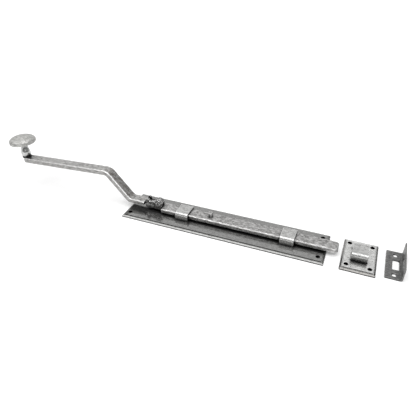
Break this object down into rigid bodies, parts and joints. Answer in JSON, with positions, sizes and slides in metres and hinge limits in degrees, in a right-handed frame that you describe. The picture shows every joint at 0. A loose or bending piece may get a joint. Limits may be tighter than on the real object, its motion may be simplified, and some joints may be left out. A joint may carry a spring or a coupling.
{
  "type": "french door bolt",
  "caption": "Surface bolt of patinated steel for a french door: flat bar sliding in two strap guides, hinged cranked handle with a knob, staple keep and slotted angle keep.",
  "frame": {"origin": "centre of the base plate's back face, in the middle of its four screw holes", "axes": "+X along the bar towards its nose and the keeps, +Z out of the door, +Y across the plate"},
  "size_m": [0.5117, 0.0559, 0.0708],
  "materials": {
    "patina_steel": "matte",
    "plate_steel": "satin",
    "guide_steel": "satin",
    "bright_steel": "polished",
    "knob_steel": "satin",
    "spring_steel": "satin",
    "dark_steel": "matte"
  },
  "bodies": {
    "plate": {"base_plate": "plate_steel", "rear_guide": "guide_steel", "front_guide": "guide_steel", "keep_plate": "guide_steel", "keep_staple": "guide_steel", "angle_keep": "dark_steel"},
    "bolt": {"bolt_bar": "patina_steel", "stop_peg": "patina_steel", "friction_spring": "spring_steel", "spring_pin": "spring_steel"},
    "handle": {"handle_arm": "patina_steel", "front_cheek": "patina_steel", "rear_cheek": "patina_steel", "cheek_rivets": "patina_steel", "pivot_pin": "patina_steel", "knob_collar": "dark_steel", "knob_post": "bright_steel", "knob_head": "knob_steel"}
  },
  "joints": [
    {"name": "bolt_slide", "type": "slide", "parent": "plate", "child": "bolt", "axis": [1, 0, 0], "range_m": [-0.0225, 0.0213]},
    {"name": "handle_hinge", "type": "hinge", "parent": "bolt", "child": "handle", "pos_m": [-0.0858, 0, 0.014], "axis": [0, 1, 0], "range_deg": [0, 90]}
  ]
}
